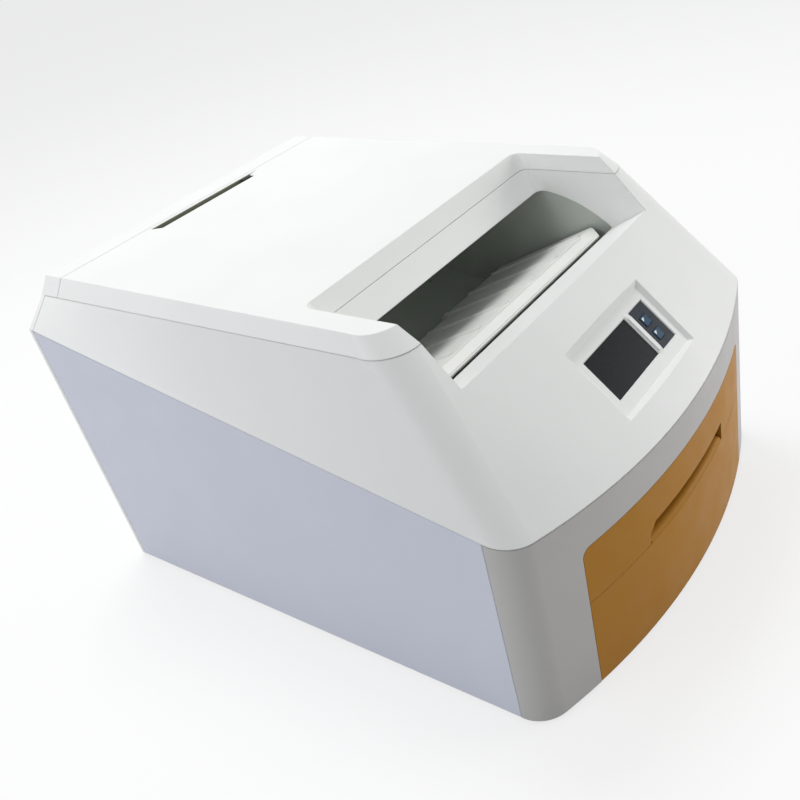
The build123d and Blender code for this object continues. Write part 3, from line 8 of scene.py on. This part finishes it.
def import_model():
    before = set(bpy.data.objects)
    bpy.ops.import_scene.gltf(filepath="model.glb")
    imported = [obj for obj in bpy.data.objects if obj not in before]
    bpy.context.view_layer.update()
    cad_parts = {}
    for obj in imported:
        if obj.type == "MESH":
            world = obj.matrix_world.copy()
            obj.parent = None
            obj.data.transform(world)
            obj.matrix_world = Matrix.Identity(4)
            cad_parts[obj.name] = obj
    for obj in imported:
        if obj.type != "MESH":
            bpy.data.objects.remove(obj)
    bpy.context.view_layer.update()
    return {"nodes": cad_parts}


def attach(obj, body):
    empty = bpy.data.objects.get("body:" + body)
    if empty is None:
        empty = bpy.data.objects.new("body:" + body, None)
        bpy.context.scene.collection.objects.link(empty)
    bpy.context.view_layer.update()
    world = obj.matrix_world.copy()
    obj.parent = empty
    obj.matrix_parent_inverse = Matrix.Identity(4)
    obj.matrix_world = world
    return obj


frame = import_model()
NODES = frame["nodes"]
MM = 0.001


# ---------------------------------------------------------------- materials
BEVEL_SAMPLES = 4
NOISE_LOW = 0.3
NOISE_HIGH = 0.7
MIX_UNDER = 6
MIX_OVER = 7
MIX_RESULT = 2


class Finish:
    """One procedural material, built up step by step."""

    def __init__(self, name, colour, rough, metallic=0.0, specular=0.5):
        self.material = bpy.data.materials.new(name)
        self.material.use_nodes = True
        self.tree = self.material.node_tree
        self.shader = self.tree.nodes["Principled BSDF"]
        self.coords = self.tree.nodes.new("ShaderNodeTexCoord").outputs["Object"]
        self.shader.inputs["Metallic"].default_value = metallic
        self.shader.inputs["Specular IOR Level"].default_value = specular
        self.colour = self.rgb(colour)
        self.rough = self.number(rough)
        self.normal = None

    def rgb(self, colour):
        node = self.tree.nodes.new("ShaderNodeRGB")
        node.outputs[0].default_value = (*colour, 1.0)
        return node.outputs[0]

    def number(self, value):
        node = self.tree.nodes.new("ShaderNodeValue")
        node.outputs[0].default_value = value
        return node.outputs[0]

    def link(self, source, target):
        self.tree.links.new(source, target)

    def noise(self, scale, detail=2.0, stretch=(1, 1, 1)):
        """Noise in object space; scale is in blobs per metre."""
        mapping = self.tree.nodes.new("ShaderNodeMapping")
        mapping.inputs["Scale"].default_value = stretch
        self.link(self.coords, mapping.inputs["Vector"])
        node = self.tree.nodes.new("ShaderNodeTexNoise")
        node.inputs["Scale"].default_value = scale
        node.inputs["Detail"].default_value = detail
        self.link(mapping.outputs[0], node.inputs["Vector"])
        return node.outputs["Fac"]

    def ramp(self, source, low, high, out_low=0.0, out_high=1.0):
        node = self.tree.nodes.new("ShaderNodeMapRange")
        node.inputs["From Min"].default_value = low
        node.inputs["From Max"].default_value = high
        node.inputs["To Min"].default_value = out_low
        node.inputs["To Max"].default_value = out_high
        self.link(source, node.inputs["Value"])
        return node.outputs["Result"]

    def mix(self, mask, colour, strength=1.0):
        """Lays a colour over what is there, by a mask times strength."""
        times = self.tree.nodes.new("ShaderNodeMath")
        times.operation = "MULTIPLY"
        self.link(mask, times.inputs[0])
        times.inputs[1].default_value = strength
        node = self.tree.nodes.new("ShaderNodeMix")
        node.data_type = "RGBA"
        self.link(times.outputs[0], node.inputs[0])
        self.link(self.colour, node.inputs[MIX_UNDER])
        node.inputs[MIX_OVER].default_value = (*colour, 1.0)
        self.colour = node.outputs[MIX_RESULT]
        return self

    def mottle(self, scale, spread, detail=3.0, stretch=(1, 1, 1)):
        """Slow change of brightness over the surface, as a share of one."""
        noise = self.noise(scale, detail, stretch)
        field = self.ramp(noise, NOISE_LOW, NOISE_HIGH, 1 - spread, 1 + spread)
        node = self.tree.nodes.new("ShaderNodeVectorMath")
        node.operation = "SCALE"
        self.link(self.colour, node.inputs[0])
        self.link(field, node.inputs["Scale"])
        self.colour = node.outputs[0]
        return self

    def rub(self, scale, amount, detail=4.0, stretch=(1, 1, 1)):
        """Uneven roughness from handling and cleaning."""
        noise = self.noise(scale, detail, stretch)
        field = self.ramp(noise, NOISE_LOW, NOISE_HIGH, -amount, amount)
        node = self.tree.nodes.new("ShaderNodeMath")
        node.operation = "ADD"
        node.use_clamp = True
        self.link(self.rough, node.inputs[0])
        self.link(field, node.inputs[1])
        self.rough = node.outputs[0]
        return self

    def soften(self, radius):
        """Rounds the look of every edge, and keeps the rounded normal."""
        node = self.tree.nodes.new("ShaderNodeBevel")
        node.samples = BEVEL_SAMPLES
        node.inputs["Radius"].default_value = radius
        self.normal = node.outputs["Normal"]
        return self

    def worn_edges(self, radius, colour, strength):
        """Edges rubbed to another shade where the bevelled normal turns away."""
        bevel = self.tree.nodes.new("ShaderNodeBevel")
        bevel.samples = BEVEL_SAMPLES
        bevel.inputs["Radius"].default_value = radius
        geometry = self.tree.nodes.new("ShaderNodeNewGeometry")
        dot = self.tree.nodes.new("ShaderNodeVectorMath")
        dot.operation = "DOT_PRODUCT"
        self.link(bevel.outputs["Normal"], dot.inputs[0])
        self.link(geometry.outputs["Normal"], dot.inputs[1])
        edge = self.ramp(dot.outputs["Value"], 0.995, 0.8)
        patch = self.ramp(self.noise(60, 5), 0.45, 0.62)
        both = self.tree.nodes.new("ShaderNodeMath")
        both.operation = "MULTIPLY"
        self.link(edge, both.inputs[0])
        self.link(patch, both.inputs[1])
        return self.mix(both.outputs[0], colour, strength)

    def grain(self, scale, depth, detail=2.0, stretch=(1, 1, 1)):
        """Bump of a given depth in metres."""
        field = self.noise(scale, detail, stretch)
        bump = self.tree.nodes.new("ShaderNodeBump")
        bump.inputs["Strength"].default_value = 1.0
        bump.inputs["Distance"].default_value = depth
        self.link(field, bump.inputs["Height"])
        if self.normal is not None:
            self.link(self.normal, bump.inputs["Normal"])
        self.normal = bump.outputs["Normal"]
        return self

    def done(self):
        self.link(self.colour, self.shader.inputs["Base Color"])
        self.link(self.rough, self.shader.inputs["Roughness"])
        if self.normal is not None:
            self.link(self.normal, self.shader.inputs["Normal"])
        return self.material


def cover_white():
    f = Finish("cover_white", (0.855, 0.865, 0.85), 0.44, specular=0.35)
    f.soften(0.0012).mottle(9, 0.012).rub(35, 0.05)
    f.mix(f.ramp(f.noise(210, 6), 0.62, 0.8), (0.74, 0.73, 0.70), 0.10)
    f.worn_edges(0.0022, (0.90, 0.90, 0.89), 0.35)
    return f.grain(2300, 0.00002).done()


def panel_white():
    f = Finish("panel_white", (0.665, 0.69, 0.79), 0.47)
    f.soften(0.0008).mottle(5, 0.015).rub(28, 0.05)
    f.mix(f.ramp(f.noise(160, 6), 0.63, 0.8), (0.56, 0.57, 0.63), 0.10)
    return f.grain(620, 0.00005, 3).done()


def front_grey():
    f = Finish("front_grey", (0.545, 0.535, 0.52), 0.46, specular=0.35)
    f.soften(0.0012).mottle(7, 0.015).rub(35, 0.05)
    f.worn_edges(0.002, (0.66, 0.65, 0.63), 0.3)
    return f.grain(2300, 0.00002).done()


def orange():
    f = Finish("orange", (0.47, 0.21, 0.022), 0.46, specular=0.12)
    f.soften(0.001).mottle(6, 0.03).rub(30, 0.06)
    f.mix(f.ramp(f.noise(140, 6), 0.6, 0.8), (0.38, 0.165, 0.035), 0.16)
    f.worn_edges(0.0018, (0.60, 0.33, 0.11), 0.45)
    return f.grain(700, 0.00003, 3).done()


def metal(name, colour, rough, lines=(1, 1, 1), spread=0.05, spangle=0.0):
    f = Finish(name, colour, rough, metallic=1.0)
    f.soften(0.0004).mottle(30, spread, 4)
    f.mottle(900, 0.05, 2, lines)
    f.rub(700, 0.07, 3, lines)
    if spangle:
        f.mottle(130, spangle, 1)
    return f.grain(1500, 0.00001, 2, lines).done()


def plain(name, colour, rough, grain=1800, depth=0.00002, spread=0.04, edge=None, specular=0.5):
    f = Finish(name, colour, rough, specular=specular)
    f.soften(0.0006).mottle(18, spread).rub(60, 0.07)
    if edge:
        f.worn_edges(0.0012, edge, 0.4)
    return f.grain(grain, depth).done()


def screen_glass():
    f = Finish("screen_dark", (0.020, 0.0215, 0.025), 0.28, specular=0.06)
    f.mottle(25, 0.05).rub(70, 0.05)
    f.mix(f.ramp(f.noise(420, 6), 0.64, 0.8), (0.10, 0.10, 0.11), 0.12)
    return f.grain(1400, 0.000004).done()


MATERIALS = {
    "cover_white": cover_white(),
    "panel_white": panel_white(),
    "front_grey": front_grey(),
    "orange": orange(),
    "steel": metal("steel", (0.56, 0.57, 0.58), 0.38, (1, 1, 1), 0.05, 0.10),
    "rubber_dark": plain("rubber_dark", (0.018, 0.018, 0.018), 0.75, 900, 0.00008, 0.10),
    "rubber_grey": plain("rubber_grey", (0.075, 0.08, 0.085), 0.70, 900, 0.00006, 0.08),
    "plastic_dark": plain(
        "plastic_dark", (0.018, 0.018, 0.020), 0.50, edge=(0.05, 0.05, 0.05), specular=0.2
    ),
    "bin_green_grey": plain("bin_green_grey", (0.50, 0.54, 0.49), 0.42, 1500, 0.00003, 0.05),
    "ramp_cream": plain("ramp_cream", (0.84, 0.845, 0.81), 0.40, 1600, 0.00002, 0.02),
    "olive": plain("olive", (0.23, 0.235, 0.180), 0.60, 1400, 0.00004, 0.06, specular=0.2),
    "screen_dark": screen_glass(),
    "strip_dark": plain(
        "strip_dark", (0.030, 0.036, 0.046), 0.40, 1500, 0.00002, 0.05, specular=0.12
    ),
    "key_blue": plain(
        "key_blue", (0.006, 0.052, 0.110), 0.36, 1500, 0.00002, 0.06,
        edge=(0.03, 0.09, 0.15), specular=0.2,
    ),
    "aluminium": metal("aluminium", (0.70, 0.71, 0.72), 0.34, (0.06, 1, 1), 0.03),
    "board_green": plain("board_green", (0.012, 0.085, 0.030), 0.35, 800, 0.00003, 0.12),
    "tray_grey": plain(
        "tray_grey", (0.13, 0.135, 0.14), 0.46, 1500, 0.00003, 0.05, edge=(0.2, 0.2, 0.2)
    ),
}

for node in NODES.values():
    for held in node.material_slots:
        plain_name = held.material.name.split(".")[0] if held.material else ""
        if plain_name in MATERIALS:
            held.material = MATERIALS[plain_name]


# ------------------------------------------------------------------- pieces
class Shape:
    """A mesh collected from solids of revolution and prisms, in millimetres."""

    def __init__(self):
        self.points = []
        self.faces = []

    def prism(self, outline, shift):
        """Closed outline of 3-D points, pushed along shift."""
        start = len(self.points)
        count = len(outline)
        shift = Vector(shift)
        self.points += [Vector(p) for p in outline]
        self.points += [Vector(p) + shift for p in outline]
        self.faces.append([start + i for i in reversed(range(count))])
        self.faces.append([start + count + i for i in range(count)])
        for i in range(count):
            after = (i + 1) % count
            self.faces.append([start + i, start + after, start + count + after, start + count + i])

    def lathe(self, foot, axis, profile, sides=28):
        """Profile of (radius, distance along axis) turned round the axis."""
        foot = Vector(foot)
        axis = Vector(axis).normalized()
        across = axis.orthogonal().normalized()
        beside = axis.cross(across)
        start = len(self.points)
        for radius, along in profile:
            for i in range(sides):
                angle = 2 * math.pi * i / sides
                spoke = across * math.cos(angle) + beside * math.sin(angle)
                self.points.append(foot + axis * along + radius * spoke)
        for ring in range(len(profile) - 1):
            low = start + ring * sides
            for i in range(sides):
                after = (i + 1) % sides
                self.faces.append([low + i, low + after, low + sides + after, low + sides + i])
        self.faces.append([start + i for i in reversed(range(sides))])
        last = start + (len(profile) - 1) * sides
        self.faces.append([last + i for i in range(sides)])

    def make(self, name, slot, body, smooth=0.6):
        mesh = bpy.data.meshes.new(name)
        mesh.from_pydata([p * MM for p in self.points], [], self.faces)
        build = bmesh.new()
        build.from_mesh(mesh)
        bmesh.ops.recalc_face_normals(build, faces=build.faces)
        for edge in build.edges:
            edge.smooth = edge.calc_face_angle(3.0) < smooth
        for face in build.faces:
            face.smooth = True
        build.to_mesh(mesh)
        build.free()
        piece = bpy.data.objects.new(name, mesh)
        bpy.context.scene.collection.objects.link(piece)
        mesh.materials.append(MATERIALS[slot])
        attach(piece, body)
        return piece


SLOPE_RISE = 163.14
SLOPE_RUN = 165.5
SLOPE = math.atan2(SLOPE_RISE, SLOPE_RUN)
PANEL_RIGHT = Vector((1, 0, 0))
PANEL_UP = Vector((0, math.cos(SLOPE), math.sin(SLOPE)))
PANEL_OUT = Vector((0, -math.sin(SLOPE), math.cos(SLOPE)))
PANEL_CENTRE = Vector((6.4, -295.9, 292))
KEY_FACE = -5.4
KEY_X = 50.3
KEY_UPPER_Y = 8
KEY_LOWER_Y = -11.5
# Lift and thickness of the painted highlight wedges on the keys.
HIGHLIGHT_LIFT = 0.01
HIGHLIGHT_THICK = 0.12
FAN_CENTRE = (120, 205)
FAN_BOLT = 36
BACK_SKIN_OUT = 355.2
RIB_HALF = 0.8
RIB_SIDE = 218
RIB_FRONT = -40
RIB_BACK = 294
RIB_LOW = 404
RIB_HIGH = 9.2


def on_panel(x, y, height):
    """Point on the screen panel, height above the plane of the front slope."""
    return PANEL_CENTRE + PANEL_RIGHT * x + PANEL_UP * y + PANEL_OUT * height


def key_painted_highlight(name, row):
    """Thin white wedge in the corner of a key cap, a painted highlight where light catches the
    key's embossed corner.
    """
    highlight = Shape()
    corners = ((-4.9, 4.9), (-4.9, 0.6), (-3.2, 1.2), (-0.4, 4.4))
    height = KEY_FACE + HIGHLIGHT_LIFT
    outline = [on_panel(KEY_X + dx, row + dy, height) for dx, dy in reversed(corners)]
    highlight.prism(outline, PANEL_OUT * HIGHLIGHT_THICK)
    highlight.make(name + "_mark", "cover_white", name, smooth=0.1)


def fan_screws():
    """Four round-head screws that hold the fan to the rear cover."""
    screws = Shape()
    shank = ((1.4, 0), (1.4, 6))
    head = ((3.1, 0), (3.1, 0.25), (2.5, 0.55), (1.1, 0.75), (1.0, 0.35), (0.2, 0.3))
    for x in (FAN_CENTRE[0] - FAN_BOLT, FAN_CENTRE[0] + FAN_BOLT):
        for z in (FAN_CENTRE[1] - FAN_BOLT, FAN_CENTRE[1] + FAN_BOLT):
            screws.lathe((x, BACK_SKIN_OUT, z), (0, -1, 0), shank)
            screws.lathe((x, BACK_SKIN_OUT, z), (0, 1, 0), head)
    screws.make("fan_screws", "steel", "cabinet")


def rib_outline(x_low, x_high, y_low, y_high):
    """Foot of one rib under the lid."""
    corners = ((x_low, y_low), (x_high, y_low), (x_high, y_high), (x_low, y_high))
    return [(x, y, RIB_LOW) for x, y in corners]


def lid_ribs():
    """Stiffening ribs moulded under the lid."""
    ribs = Shape()
    for x in (-150, -75, 0, 75, 150):
        outline = rib_outline(x - RIB_HALF, x + RIB_HALF, RIB_FRONT, RIB_BACK)
        ribs.prism(outline, (0, 0, RIB_HIGH))
    for y in (40, 130, 220):
        outline = rib_outline(-RIB_SIDE, RIB_SIDE, y - RIB_HALF, y + RIB_HALF)
        ribs.prism(outline, (0, 0, RIB_HIGH))
    ribs.make("lid_ribs", "cover_white", "lid", smooth=0.2)


# Painted highlights: a white wedge on the lit corner of each key.
key_painted_highlight("key_upper", KEY_UPPER_Y)
key_painted_highlight("key_lower", KEY_LOWER_Y)
fan_screws()
lid_ribs()


# ---------------------------------------------------------------- stage
FLOOR_HALF = 14.0
FLOOR_LIT = 0.52
FLOOR_SEEN = 0.95
FLOOR_WHITE = 0.72
AMBIENT = 0.42
CAMERA_PLACE = (-0.73775, -0.69604, 0.80952)
CAMERA_RIGHT = (0.55236564, -0.81274015, -0.18532581)
CAMERA_UP = (0.55002599, 0.18828375, 0.81364651)
CAMERA_FORWARD = (0.62638934, 0.55136438, -0.55102968)
CAMERA_SENSOR = 36
CAMERA_LENS = 41.91
CAMERA_SHIFT = (-0.075, 0.009)


def seen_rays(tree):
    """Factor of 1 for the rays that see the background: camera, gloss and glass."""
    path = tree.nodes.new("ShaderNodeLightPath")
    factor = path.outputs["Is Camera Ray"]
    for ray in ("Is Glossy Ray", "Is Transmission Ray"):
        either = tree.nodes.new("ShaderNodeMath")
        either.operation = "MAXIMUM"
        tree.links.new(factor, either.inputs[0])
        tree.links.new(path.outputs[ray], either.inputs[1])
        factor = either.outputs[0]
    return factor


def floor():
    mesh = bpy.data.meshes.new("floor")
    corners = ((-1, -1), (1, -1), (1, 1), (-1, 1))
    points = [(x * FLOOR_HALF, y * FLOOR_HALF, 0) for x, y in corners]
    mesh.from_pydata(points, [], [(0, 1, 2, 3)])
    obj = bpy.data.objects.new("floor", mesh)
    bpy.context.scene.collection.objects.link(obj)
    material = bpy.data.materials.new("floor")
    material.use_nodes = True
    tree = material.node_tree
    tree.nodes.clear()
    out = tree.nodes.new("ShaderNodeOutputMaterial")
    lit = tree.nodes.new("ShaderNodeBsdfDiffuse")
    lit.inputs["Color"].default_value = (FLOOR_LIT, FLOOR_LIT, FLOOR_LIT, 1)
    seen_lit = tree.nodes.new("ShaderNodeBsdfDiffuse")
    seen_lit.inputs["Color"].default_value = (FLOOR_SEEN, FLOOR_SEEN, FLOOR_SEEN, 1)
    white = tree.nodes.new("ShaderNodeEmission")
    white.inputs["Strength"].default_value = 1.0
    pale = tree.nodes.new("ShaderNodeMixShader")
    pale.inputs[0].default_value = FLOOR_WHITE
    tree.links.new(seen_lit.outputs[0], pale.inputs[1])
    tree.links.new(white.outputs[0], pale.inputs[2])
    both = tree.nodes.new("ShaderNodeMixShader")
    tree.links.new(seen_rays(tree), both.inputs[0])
    tree.links.new(lit.outputs[0], both.inputs[1])
    tree.links.new(pale.outputs[0], both.inputs[2])
    tree.links.new(both.outputs[0], out.inputs["Surface"])
    mesh.materials.append(material)


def area_lamp(name, place, target, size, power, colour=(1, 1, 1)):
    data = bpy.data.lights.new(name, "AREA")
    data.shape = "RECTANGLE"
    data.size, data.size_y = size
    data.energy = power
    data.color = colour
    lamp = bpy.data.objects.new(name, data)
    lamp.location = place
    lamp.rotation_mode = "QUATERNION"
    lamp.rotation_quaternion = (Vector(target) - Vector(place)).to_track_quat("-Z", "Y")
    bpy.context.scene.collection.objects.link(lamp)


def world():
    sky = bpy.data.worlds.new("studio")
    bpy.context.scene.world = sky
    sky.use_nodes = True
    tree = sky.node_tree
    tree.nodes.clear()
    out = tree.nodes.new("ShaderNodeOutputWorld")
    ambient = tree.nodes.new("ShaderNodeBackground")
    ambient.inputs["Color"].default_value = (0.97, 0.985, 1.0, 1)
    ambient.inputs["Strength"].default_value = AMBIENT
    white = tree.nodes.new("ShaderNodeBackground")
    white.inputs["Strength"].default_value = 1.0
    choose = tree.nodes.new("ShaderNodeMixShader")
    tree.links.new(seen_rays(tree), choose.inputs[0])
    tree.links.new(ambient.outputs[0], choose.inputs[1])
    tree.links.new(white.outputs[0], choose.inputs[2])
    tree.links.new(choose.outputs[0], out.inputs["Surface"])


def camera():
    data = bpy.data.cameras.new("camera")
    data.sensor_width = CAMERA_SENSOR
    data.lens = CAMERA_LENS
    data.shift_x, data.shift_y = CAMERA_SHIFT
    data.clip_start, data.clip_end = 0.01, 60
    obj = bpy.data.objects.new("camera", data)
    turn = Matrix((CAMERA_RIGHT, CAMERA_UP, -Vector(CAMERA_FORWARD))).transposed()
    obj.matrix_world = Matrix.Translation(CAMERA_PLACE) @ turn.to_4x4()
    bpy.context.scene.collection.objects.link(obj)
    bpy.context.scene.camera = obj


floor()
world()
area_lamp("key", (0.4, 0.85, 2.5), (0, 0, 0.3), (1.1, 1.1), 33)
area_lamp("front_fill", (1.95, -2.0, 0.75), (0, -0.2, 0.3), (1.6, 1.2), 27, (1.0, 0.99, 0.97))
area_lamp("left_fill", (-2.4, 0.9, 1.3), (-0.2, 0.1, 0.2), (1.8, 1.4), 22, (0.95, 0.97, 1.0))
camera()
view = bpy.context.scene.view_settings
view.view_transform = "Standard"
